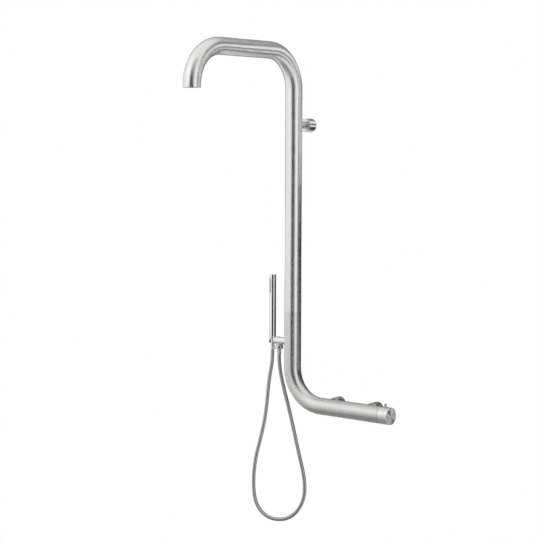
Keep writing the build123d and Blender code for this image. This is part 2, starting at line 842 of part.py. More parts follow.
def hose_route():
    """The corners of the hose's path: it leaves both ends straight down."""
    outlet = Vector(outlet_x, pipe_y, 0)
    across = Vector(hand_x, hand_y, 0) - outlet
    points = [(0, hose_exit_height), (0, hose_exit_height - hose_exit_run), *hose_points]
    points += [(across.length, hose_end_height - hose_end_run), (across.length, hose_end_height)]
    return [outlet + across.normalized() * along + Vector(0, 0, height) for along, height in points]


def corner_radii(points):
    """The largest arcs that the runs beside each corner leave room for."""
    radii = []
    for before, corner, after in zip(points, points[1:], points[2:]):
        first = corner - before
        second = after - corner
        half_turn = math.radians(first.get_angle(second)) / 2
        radii.append(hose_arc_share * min(first.length, second.length) / math.tan(half_turn))
    return radii


def shower_hose():
    points = hose_route()
    radii = corner_radii(points)
    print("hose radii", [round(radius) for radius in radii])
    path = FilletPolyline(*points, radius=radii)
    hose = tube_along(path, hose_radius, hose_bore)
    section = math.pi * (hose_radius**2 - hose_bore**2)
    print("hose length", round(path.length), "volume ratio", round(hose.volume / (section * path.length), 4))
    return hose


def hose_cone_nut():
    nut = Pos(hand_x, hand_y, 0) * turned(cone_profile(0.0)[:3] + [(hand_radius, cone_high), (0, cone_high)])
    nut -= rod_z(cone_thread_radius + press_gap, cone_ledge, cone_high + cut_over, hand_x, hand_y)
    return nut - rod_z(ferrule_radius + running, cone_low - cut_over, cone_high, hand_x, hand_y)


def handset_washer():
    ring = rod_z(cone_ferrule_flange_radius, cone_washer_low, cone_washer_high, hand_x, hand_y)
    below = cone_washer_low - cut_over
    return ring - rod_z(connector_bore, below, cone_washer_high + cut_over, hand_x, hand_y)


def handset_connector():
    tube_inside = hand_radius - hand_wall - press_gap
    body = rod_z(cone_thread_radius, cone_washer_high, cone_high, hand_x, hand_y)
    top = cone_high + connector_spigot
    body += rod_z(tube_inside, cone_high, top, hand_x, hand_y)
    return body - rod_z(connector_bore, cone_washer_high - cut_over, top + cut_over, hand_x, hand_y)


def strip_window(depth, grow=0.0):
    """A block that covers the spray strip, from this distance off the axis outwards."""
    height = strip_high - strip_low + 2 * grow
    thickness = hand_radius + 2 * cut_over
    block = Box(strip_width + 2 * grow, thickness, height)
    middle = Pos(0, -depth - thickness / 2, (strip_low + strip_high) / 2)
    return Pos(hand_x, hand_y, 0) * Rot(0, 0, -hand_turn) * middle * block


def handset_tube():
    low = cone_high + body_gap / 2
    tube = rod_z(hand_radius, low, hand_top - hand_cap, hand_x, hand_y)
    tube -= rod_z(hand_radius - hand_wall, low - cut_over, hand_top, hand_x, hand_y)
    return tube - strip_window(0.0)


def handset_top_cap():
    cap = rod_z(hand_radius, hand_top - hand_cap, hand_top, hand_x, hand_y)
    cap = chamfer(cap.edges().group_by(Axis.Z)[-1], edge_chamfer)
    plug = hand_radius - hand_wall - press_gap
    return cap + rod_z(plug, hand_top - hand_cap_plug, hand_top - hand_cap, hand_x, hand_y)


def handset_spray_insert():
    """The plastic carrier behind the spray strip, open below for the water."""
    low = strip_low - insert_margin
    high = hand_top - hand_cap_plug - body_gap
    body = rod_z(hand_radius - hand_wall - slip, low, high, hand_x, hand_y)
    body -= rod_z(insert_bore, low - cut_over, strip_high, hand_x, hand_y)
    return body - strip_window(hand_radius - hand_wall - slip - strip_thickness, slip)


def handset_nozzle_strip():
    """The rubber strip that fills the window, with its rows of small nozzles."""
    inner = hand_radius - hand_wall - strip_thickness
    strip = rod_z(hand_radius - slip, strip_low, strip_high, hand_x, hand_y)
    strip &= strip_window(inner, -press_gap)
    middle = (strip_low + strip_high) / 2
    nozzle = rod_y(strip_nozzle_radius, -hand_radius - strip_nozzle_height, -inner - strip_thickness / 2)
    for row in range(strip_rows):
        z = middle + (row - (strip_rows - 1) / 2) * strip_pitch
        for column in range(strip_columns):
            angle = (column - (strip_columns - 1) / 2) * strip_column_angle
            strip += Pos(hand_x, hand_y, z) * Rot(0, 0, angle - hand_turn) * nozzle
    return strip


pieces = {
    "spout_riser_tube": spout_riser_tube,
    "mixer_bar_tube": mixer_bar_tube,
    "riser_spigot": riser_spigot,
    "riser_o_rings": riser_o_rings,
    "riser_grub_screws": riser_grub_screws,
    "spray_plate": spray_plate,
    "spray_nozzle_mat": spray_nozzle_mat,
    "spray_chamber": spray_chamber,
    "spray_o_ring": spray_o_ring,
    "spray_grub_screw": spray_grub_screw,
    "spout_feed_pipe": spout_feed_pipe,
    "handset_feed_pipe": handset_feed_pipe,
    "holder_elbow": holder_elbow,
    "valve_body": valve_body,
    "cartridge_housing": cartridge_housing,
    "ceramic_disc_fixed": ceramic_disc_fixed,
    "ceramic_disc_turning": ceramic_disc_turning,
    "cartridge_stem": cartridge_stem,
    "cartridge_nut": cartridge_nut,
    "knob_guide_ring": knob_guide_ring,
    "control_knob": control_knob,
    "knob_pin": knob_pin,
    "knob_end_cap": knob_end_cap,
    "knob_screw": knob_screw,
    "inlet_posts": lambda: at_inlets(inlet_post()),
    "check_valve_shells": lambda: at_inlets(check_valve_shell()),
    "check_poppet_cold": lambda: check_poppet(inlet_xs[0]),
    "check_poppet_hot": lambda: check_poppet(inlet_xs[1]),
    "wall_unions": lambda: at_inlets(wall_union()),
    "filter_washers": lambda: at_inlets(filter_washer()),
    "union_nuts": lambda: at_inlets(union_nut()),
    "rosettes": lambda: at_rosettes(rosette()),
    "rosette_o_rings": lambda: at_rosettes(rosette_o_ring()),
    "bracket_post": bracket_post,
    "bracket_weld_boss": bracket_weld_boss,
    "bracket_wall_plate": bracket_wall_plate,
    "bracket_grub_screw": bracket_grub_screw,
    "handset_holder": handset_holder,
    "outlet_nipple": outlet_nipple,
    "outlet_washer": outlet_washer,
    "hose_outlet_nut": hose_outlet_nut,
    "hose_outlet_ferrule": hose_outlet_ferrule,
    "shower_hose": shower_hose,
    "hose_handset_ferrule": hose_handset_ferrule,
    "hose_cone_nut": hose_cone_nut,
    "handset_washer": handset_washer,
    "handset_connector": handset_connector,
    "handset_tube": handset_tube,
    "handset_top_cap": handset_top_cap,
    "handset_spray_insert": handset_spray_insert,
    "handset_nozzle_strip": handset_nozzle_strip,
}

os.makedirs("parts", exist_ok=True)
for node, make in pieces.items():
    shape = make()
    if isinstance(shape, list):
        shape = Compound(children=shape)
    export_step(shape, f"parts/{node}.step")
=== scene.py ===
"""A wall-mounted outdoor shower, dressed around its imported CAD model."""

import math

import bmesh
import bpy
from mathutils import Euler, Matrix, Vector


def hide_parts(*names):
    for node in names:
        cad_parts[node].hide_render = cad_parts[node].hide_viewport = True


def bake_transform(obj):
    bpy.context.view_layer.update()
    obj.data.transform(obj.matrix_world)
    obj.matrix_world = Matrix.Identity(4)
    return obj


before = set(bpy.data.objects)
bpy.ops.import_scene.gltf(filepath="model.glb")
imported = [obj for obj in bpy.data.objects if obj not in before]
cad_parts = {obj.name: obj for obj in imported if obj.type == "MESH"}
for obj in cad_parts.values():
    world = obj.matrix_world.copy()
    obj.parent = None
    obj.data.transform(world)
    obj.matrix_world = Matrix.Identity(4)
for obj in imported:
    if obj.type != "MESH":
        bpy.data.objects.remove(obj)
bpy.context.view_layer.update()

bl_info = {
    "name": "Outdoor shower dressing",
    "version": (1, 0, 0),
    "blender": (4, 5, 0),
    "location": "3D View > Sidebar > Shower",
    "description": "Finishes, hose and studio for a wall-mounted outdoor shower",
    "category": "Object",
}

MM = 0.001

# Places in the row frame, in metres
RISER_X = -0.203
PIPE_Y = -0.088
SPOUT_Y = -0.558
TOP_Z = 1.123
TOP_BEND = 0.120
LOW_BEND = 0.115
BRACKET_Z = 0.892
INLET_X = 0.075
HOLDER_Z = 0.196
OUTLET_X = -0.260
HAND_X = -0.2837
HAND_Y = -0.0936
PIN_X = 0.1676

# Threads, crimped rings and facets: their low and high ends, pitches and leans
UNION_THREAD = (0.0015, 0.015)
NIPPLE_THREAD = (0.1725, 0.1905)
OUTLET_CRIMP = (0.1525, 0.1625)
HAND_CRIMP = (0.1655, 0.1755)
FACE_PITCH = 0.0003
THREAD_PITCH = 0.001814
CRIMP_PITCH = 0.0025
FACE_LEAN = 0.55
THREAD_LEAN = 0.7
CRIMP_LEAN = 0.35

BRASS = (0.72, 0.52, 0.26)
# The lower tube's steel colour is multiplied by this: a tone step at the seam, and painted shade that
# darkens the bar's reflections.
BAR_TONE_AND_PAINTED_SHADE = 0.88

# Brushed and turned finishes: noise cells in a metre, shares in the colour, swing in the gloss
LINE_SPREAD = 60.0
CLOUD_CELLS = 14.0
LINE_SHARE = 0.6
CLOUD_SHARE = 0.4
CLOUD_GLOSS = 0.08

# Moulded finishes, in the same terms, and how dark their dark tone is
GRAIN_CELLS = 2600.0
TONE_CELLS = 60.0
GRAIN_SHARE = 0.3
TONE_SHARE = 0.7
GRAIN_GLOSS = 0.12
TONE_DEPTH = 0.86

# The hose's strip, in the same terms
STRIP_GRAIN_CELLS = 900.0
STRIP_TONE_CELLS = 30.0
STRIP_DEPTH = 0.8
STRIP_ROUGHNESS = 0.14
STRIP_GRAIN = 0.01 * MM

# The winding of the hose: sides of its round, turns before its start and turns hidden in all
ROUND_SIDES = 22
EARLY_TURNS = 1.5
HIDDEN_TURNS = 2
WELD_DISTANCE = 0.02 * MM

# The camera, fitted to the photograph: place in metres, lens and sensor in mm, angles in degrees
CAMERA_PLACE = (2.8096, -3.7203, 0.8113)
CAMERA_LENS = 98.25
CAMERA_SENSOR = 36.0
CAMERA_REACH = 60.0
CAMERA_DOWN = 4.640
CAMERA_TURN = 40.573
CAMERA_ROLL = 0.194

FLOOR_HALF_SIDE = 30.0
FLOOR_ROUGHNESS = 0.9

# Lights: name, azimuth and elevation from LIGHT_CENTRE, distance, size
LIGHT_CENTRE = (-0.10, -0.25, 0.40)
LEFT_LIGHT = ("Left light", -22.0, 35.0, 3.0, (2.0, 2.0))
RIGHT_LIGHT = ("Right light", 86.0, 6.0, 3.0, (1.0, 2.6))

# The hose hangs in the vertical plane through its two ends. Each point is its distance
# from the outlet towards the hand shower, and its height.
HOSE_POINTS = (
    (0.0, 0.151),
    (0.0, 0.118),
    (-0.011, 0.061),
    (-0.042, -0.045),
    (-0.071, -0.163),
    (-0.098, -0.264),
    (-0.089, -0.336),
    (-0.041, -0.390),
    (0.029, -0.400),
    (0.079, -0.367),
    (0.095, -0.307),
    (0.090, -0.212),
    (0.063, -0.116),
    (0.048, -0.047),
    (0.037, 0.067),
    (0.02435, 0.129),
    (0.02435, 0.164),
)

# Cards that only reflections see: name, azimuth (0 in front of the wall, 90 on its right) and
# distance from CARD_CENTRE, height, tilt (0 standing, 90 lying), width, length, radiance at the
# foot and at the top
CARD_CENTRE = (-0.10, -0.25)
CARDS = (
    ("Front card", 34.0, 3.2, 0.5, 0.0, 2.6, 6.0, 0.05, 0.05),
    ("Low middle card", 14.0, 1.4, -0.35, 0.0, 0.7, 1.5, 0.05, 0.05),
    ("Low right card", 37.0, 3.0, -0.30, 0.0, 3.0, 1.7, 0.05, 0.05),
    ("Side card", 116.0, 2.4, 0.4, 0.0, 1.2, 6.0, 0.10, 0.10),
    ("Back card", 192.0, 2.4, 0.1, 0.0, 10.0, 2.6, 0.08, 0.08),
    ("High back card", 192.0, 2.4, 2.9, 0.0, 10.0, 3.0, 0.24, 0.34),
    ("Top strip", 142.0, 0.69, 1.25, 0.0, 1.2, 0.30, 1.05, 1.05),
    ("Second strip", 145.0, 0.69, 0.83, 0.0, 1.1, 0.17, 1.1, 1.1),
    ("Under card", 162.0, 0.69, 0.50, 0.0, 1.2, 0.26, 0.03, 0.03),
    ("Low strip", 212.0, 0.80, 0.50, 0.0, 0.9, 0.30, 0.9, 0.9),
    ("Low card", -37.0, 0.9, -1.0, 90.0, 3.0, 3.0, 0.31, 0.31),
    ("Low front card", -32.0, 1.1, -0.60, 0.0, 2.4, 1.4, 0.20, 0.85),
)


class Value:
    """A shader socket on which Python arithmetic adds Math nodes."""

    def __init__(self, finish, socket):
        self.finish = finish
        self.socket = socket

    def __add__(self, other):
        return self.finish.math("ADD", self, other)

    def __sub__(self, other):
        return self.finish.math("SUBTRACT", self, other)

    def __rsub__(self, other):
        return self.finish.math("SUBTRACT", other, self)

    def __mul__(self, other):
        return self.finish.math("MULTIPLY", self, other)

    __radd__ = __add__


class Finish:
    """A material in the making: one Principled shader and what feeds it."""

    def __init__(self, name, **constants):
        self.material = bpy.data.materials.new(name)
        self.material.use_nodes = True
        self.tree = self.material.node_tree
        self.tree.nodes.clear()
        self.shader = self.tree.nodes.new("ShaderNodeBsdfPrincipled")
        output = self.tree.nodes.new("ShaderNodeOutputMaterial")
        self.tree.links.new(self.shader.outputs["BSDF"], output.inputs["Surface"])
        self.set(self.shader, constants)

    def set(self, node, values):
        """Give a node's sockets numbers, colours or links."""
        for key, value in values.items():
            socket = node.inputs[key]
            if isinstance(value, Value):
                self.tree.links.new(value.socket, socket)
            elif hasattr(value, "__len__") and socket.type == "RGBA":
                socket.default_value = (*value[:3], 1.0)
            else:
                socket.default_value = value

    def node(self, kind, settings, values, result=0):
        """Add any node: its settings come first, then its sockets. Returns one output."""
        made = self.tree.nodes.new(kind)
        for key, value in settings.items():
            setattr(made, key, value)
        self.set(made, values)
        return Value(self, made.outputs[result])

    def math(self, operation, *inputs):
        return self.node("ShaderNodeMath", {"operation": operation}, dict(enumerate(inputs)))

    def place(self):
        """The point's own x, y and z in the row frame, in metres."""
        point = self.node("ShaderNodeTexCoord", {}, {}, "Object")
        split = self.node("ShaderNodeSeparateXYZ", {}, {0: point})
        return [Value(self, split.socket.node.outputs[i]) for i in range(3)]

    def vector(self, x, y, z):
        return self.node("ShaderNodeCombineXYZ", {}, {0: x, 1: y, 2: z})

    def noise(self, vector, scale, detail=2.0, roughness=0.5):
        values = {"Vector": vector, "Scale": scale, "Detail": detail, "Roughness": roughness}
        return self.node("ShaderNodeTexNoise", {}, values, "Fac")

    def mix(self, amount, first, second):
        values = {"Factor": amount, "A": first, "B": second}
        node = self.tree.nodes.new("ShaderNodeMix")
        node.data_type = "RGBA"
        sockets = {s.name: s for s in node.inputs if s.enabled}
        for key, value in values.items():
            if isinstance(value, Value):
                self.tree.links.new(value.socket, sockets[key])
            elif key == "Factor":
                sockets[key].default_value = value
            else:
                sockets[key].default_value = (*value[:3], 1.0)
        return Value(self, next(s for s in node.outputs if s.enabled))

    def vectors(self, operation, *inputs):
        return self.node("ShaderNodeVectorMath", {"operation": operation}, dict(enumerate(inputs)))

    def bump(self, height, distance, strength=1.0):
        values = {"Height": height, "Distance": distance, "Strength": strength}
        self.set(self.shader, {"Normal": self.node("ShaderNodeBump", {}, values)})

    def grooves(self, ring, tilt):
        """Lean the surface across fine grooves that run along a ring direction."""
        normal = self.node("ShaderNodeTexCoord", {}, {}, "Normal")
        across = self.vectors("NORMALIZE", self.vectors("CROSS_PRODUCT", normal, ring))
        leaned = self.vectors("MULTIPLY_ADD", across, tilt, normal)
        settings = {"vector_type": "NORMAL", "convert_from": "OBJECT", "convert_to": "WORLD"}
        leaned = self.node("ShaderNodeVectorTransform", settings, {0: leaned})
        self.set(self.shader, {"Normal": self.vectors("NORMALIZE", leaned)})

    def feed(self, **values):
        for key, value in values.items():
            self.set(self.shader, {key.replace("_", " "): value})


def dress(material, *nodes):
    """Give CAD nodes their finish."""
    for node in nodes:
        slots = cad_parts[node].data.materials
        slots.clear()
        slots.append(material)


# Finishes


def brushed(finish, along, ring, settings, cut=0.0, colour=None):
    """Fine lines that run round a piece, spaced along it, with faint clouds of handling.

    A cut is a lean of its own, such as a thread's flanks or the facets of a facing tool.
    """
    x, y, z = finish.place()
    lines = finish.vector(x * LINE_SPREAD, y * LINE_SPREAD, along * settings.lines)
    fine = finish.noise(lines, 1.0, 2.0, 0.6)
    cloud = finish.noise(finish.vector(x, y, z), CLOUD_CELLS, 3.0)
    light = settings.colour if colour is None else colour
    dark = [channel * (1.0 - settings.streaks) for channel in light]
    finish.feed(Base_Color=finish.mix(fine * LINE_SHARE + cloud * CLOUD_SHARE, dark, light))
    finish.feed(Roughness=settings.roughness + (cloud - 0.5) * CLOUD_GLOSS)
    finish.grooves(ring, (fine - 0.5) * settings.lean + cut)


def bent_tube(name, run, settings, shade=1.0):
    """A bent tube's brushing, whose lines follow it through its bends. A shade below 1 darkens its whole
    steel colour: a tone step at the seam and painted shade.
    """
    finish = Finish(name, Metallic=1.0)
    along, direction = run(finish, finish.place())
    normal = finish.node("ShaderNodeTexCoord", {}, {}, "Normal")
    ring = finish.vectors("CROSS_PRODUCT", direction, normal)
    brushed(finish, along, ring, settings, colour=[channel * shade for channel in settings.colour])
    return finish.material


def tube_run(finish, place):
    """How far along the riser tube a point lies through both bends, and the tube's direction there."""
    _, y, z = place
    bend_z = TOP_Z - TOP_BEND
    over = finish.math("MAXIMUM", z - bend_z, 0.0)
    back = finish.math("MAXIMUM", y - (PIPE_Y - TOP_BEND), 0.0)
    front = finish.math("MAXIMUM", (SPOUT_Y + TOP_BEND) - y, 0.0)
    first = finish.math("ARCTAN2", over, back)
    second = finish.math("ARCTAN2", front, over + 0.0001)
    along = finish.math("MINIMUM", z, bend_z) + (first + second) * TOP_BEND - y
    return along, finish.vector(0.0, over, front - back)


def bar_run(finish, place):
    """How far along the lower tube a point lies through its bend, and the tube's direction there."""
    x, _, z = place
    down = finish.math("MAXIMUM", LOW_BEND - z, 0.0)
    left = finish.math("MAXIMUM", (RISER_X + LOW_BEND) - x, 0.0)
    turn = finish.math("ARCTAN2", down, left)
    right = finish.math("MAXIMUM", x, RISER_X + LOW_BEND)
    along = right - finish.math("MAXIMUM", z, LOW_BEND) + turn * LOW_BEND
    return along, finish.vector(down, 0.0, left * -1.0)


def turned(name, axis, centres, settings, facet=0.0, threads=(), colour=None):
    """Lathe lines about the nearest of some axes: spaced along the sides and out across the faces.

    A facet is the lean of the ridges that a facing tool leaves. Each thread, or row of crimped
    rings, is its low end, its high end, its pitch and the lean of its flanks.
    """
    finish = Finish(name, Metallic=1.0)
    place = finish.place()
    sides = [i for i in range(3) if i != axis]
    nearest = None
    for centre in centres:
        offset = [0.0, 0.0, 0.0]
        for side, middle in zip(sides, centre):
            offset[side] = place[side] - middle
        offset = finish.vector(*offset)
        away = finish.node("ShaderNodeVectorMath", {"operation": "LENGTH"}, {0: offset}, "Value")
        if nearest is None:
            nearest, radial = offset, away
        else:
            closer = finish.math("LESS_THAN", away, radial)
            step = finish.vectors("SUBTRACT", offset, nearest)
            nearest = finish.vectors("MULTIPLY_ADD", step, closer, nearest)
            radial = finish.math("MINIMUM", radial, away)
    direction = [0.0, 0.0, 0.0]
    direction[axis] = 1.0
    ring = finish.vectors("CROSS_PRODUCT", direction, nearest)
    cut = finish.math("SIGN", finish.math("SINE", radial * (2.0 * math.pi / FACE_PITCH))) * facet
    for low, high, pitch, flank in threads:
        inside = finish.math("COMPARE", place[axis], (low + high) / 2, (high - low) / 2)
        cut = cut + finish.math("SINE", place[axis] * (2.0 * math.pi / pitch)) * inside * flank
    brushed(finish, place[axis] + radial, ring, settings, cut, colour)
    return finish.material


def moulded(name, colour, roughness, grain=0.02, metallic=0.0):
    """Moulded, cast or ground stuff: a fine even grain and a faint shift in tone."""
    finish = Finish(name, Metallic=metallic)
    x, y, z = finish.place()
    point = finish.vector(x, y, z)
    fine = finish.noise(point, GRAIN_CELLS)
    broad = finish.noise(point, TONE_CELLS)
    dark = [channel * TONE_DEPTH for channel in colour]
    finish.feed(Base_Color=finish.mix(broad * TONE_SHARE + fine * GRAIN_SHARE, dark, colour))
    finish.feed(Roughness=roughness + (fine - 0.5) * GRAIN_GLOSS)
    finish.bump(fine, grain * MM)
    return finish.material


# Settings


def colour(name, description, default):
    return bpy.props.FloatVectorProperty(
        name=name, description=description, subtype="COLOR", size=3, min=0.0, max=1.0, default=default
    )


def length(name, description, default):
    return bpy.props.FloatProperty(
        name=name, description=description, subtype="DISTANCE", unit="LENGTH", min=0.0, default=default
    )


def number(name, description, default):
    return bpy.props.FloatProperty(name=name, description=description, min=0.0, default=default)


class ShowerTubes(bpy.types.PropertyGroup):
    """The brushed steel of the bent tubes and the knob."""

    colour: colour("Colour", "Colour of the bare steel", (0.80, 0.80, 0.79))
    streaks: number("Streaks", "How much darker the lines of the brushing are", 0.08)
    lines: number("Lines", "Lines of the brushing in a metre", 14000.0)
    roughness: number("Roughness", "Gloss under the lines, 0 for a mirror", 0.26)
    lean: number("Lean", "How far the brushing spreads reflections along a tube", 1.8)


class ShowerTurned(bpy.types.PropertyGroup):
    """The satin steel and brass of the turned pieces."""

    colour: colour("Colour", "Colour of the bare steel", (0.74, 0.74, 0.73))
    streaks: number("Streaks", "How much darker the lathe lines are", 0.08)
    lines: number("Lines", "Lathe lines in a metre", 14000.0)
    roughness: number("Roughness", "Gloss under the lines, 0 for a mirror", 0.20)
    lean: number("Lean", "How far the lathe lines spread reflections", 1.0)


class ShowerPolished(bpy.types.PropertyGroup):
    """The polished steel of the hand shower, its holder and its end of the hose."""

    colour: colour("Colour", "Colour of the polished steel", (0.86, 0.86, 0.86))
    streaks: number("Streaks", "How much darker the lathe lines are", 0.05)
    lines: number("Lines", "Lathe lines in a metre", 16000.0)
    roughness: number("Roughness", "Gloss under the lines, 0 for a mirror", 0.10)
    lean: number("Lean", "How far the lathe lines spread reflections", 0.35)


class ShowerHose(bpy.types.PropertyGroup):
    """The metal hose of the hand shower."""

    diameter: length("Diameter", "Outside diameter of the hose", 0.012)
    pitch: length("Pitch", "Distance from one turn of the strip to the next", 0.0028)
    groove: length("Groove", "Depth of the groove between two turns", 0.0005)
    colour: colour("Colour", "Colour of the strip", (0.54, 0.54, 0.54))


class ShowerStage(bpy.types.PropertyGroup):
    """The studio round the shower."""

    floor: colour("Floor", "Colour of the floor", (0.86, 0.86, 0.86))
    floor_height: length("Floor height", "Height of the floor below the bar, as a positive length", 1.1)
    dome: number("Dome", "Strength of the soft light from all round", 0.75)
    left_light: number("Left light", "Radiance of the wide light on the left", 0.3)
    right_light: number("Right light", "Radiance of the narrow light on the right", 0.2)
    cards: number("Cards", "How bright the cards are that shade the reflections, 1 as drawn", 1.0)


# Pieces


def hose_line():
    """The route's corners in the row frame."""
    outlet = Vector((OUTLET_X, PIPE_Y, 0.0))
    across = (Vector((HAND_X, HAND_Y, 0.0)) - outlet).normalized()
    return [outlet + across * along + Vector((0.0, 0.0, height)) for along, height in HOSE_POINTS]


def hose_curve():
    """The hose's route as a smooth spline."""
    curve = bpy.data.curves.new("shower_hose_route", "CURVE")
    curve.dimensions = "3D"
    curve.resolution_u = 24
    spline = curve.splines.new("NURBS")
    points = hose_line()
    spline.points.add(len(points) - 1)
    for target, point in zip(spline.points, points):
        target.co = (*point, 1.0)
    spline.order_u = 3
    spline.use_endpoint_u = True
    return curve


def curve_points(curve):
    """The points of a curve's own line."""
    bare = bpy.data.objects.new("route", curve)
    mesh = bpy.data.meshes.new_from_object(bare)
    points = [vertex.co.copy() for vertex in mesh.vertices]
    bpy.data.objects.remove(bare)
    bpy.data.meshes.remove(mesh)
    return points


def run_length(points):
    return sum((b - a).length for a, b in zip(points, points[1:]))


def strip_turn(pitch, settings):
    """One turn of the wound strip about the X axis, with half a rounded groove at each side.

    It starts before the route does, so that the strip's two ends hide in the crimped sleeves.
    """
    radius = settings.diameter / 2
    groove = settings.groove
    outline = (
        (0.0, radius - groove),
        (0.18, radius - 0.25 * groove),
        (0.45, radius),
        (0.72, radius - 0.12 * groove),
        (0.88, radius - 0.6 * groove),
        (1.0, radius - groove),
    )
    mesh = bmesh.new()
    start = -EARLY_TURNS * pitch
    line = [mesh.verts.new((start + share * pitch, 0.0, height)) for share, height in outline]
    edges = [mesh.edges.new(pair) for pair in zip(line, line[1:])]
    bmesh.ops.spin(
        mesh,
        geom=line + edges,
        cent=(0.0, 0.0, 0.0),
        axis=(1.0, 0.0, 0.0),
        dvec=(pitch / ROUND_SIDES, 0.0, 0.0),
        angle=2.0 * math.pi,
        steps=ROUND_SIDES,
        use_merge=False,
        use_duplicate=False,
    )
    bmesh.ops.recalc_face_normals(mesh, faces=mesh.faces)
    data = bpy.data.meshes.new("hose_turn")
    mesh.to_mesh(data)
    mesh.free()
    return data


class ShowerPiece:
    """What the operators share."""

    bl_options = {"REGISTER", "UNDO"}

    def execute(self, context):
        self.make(context.scene)
        return {"FINISHED"}


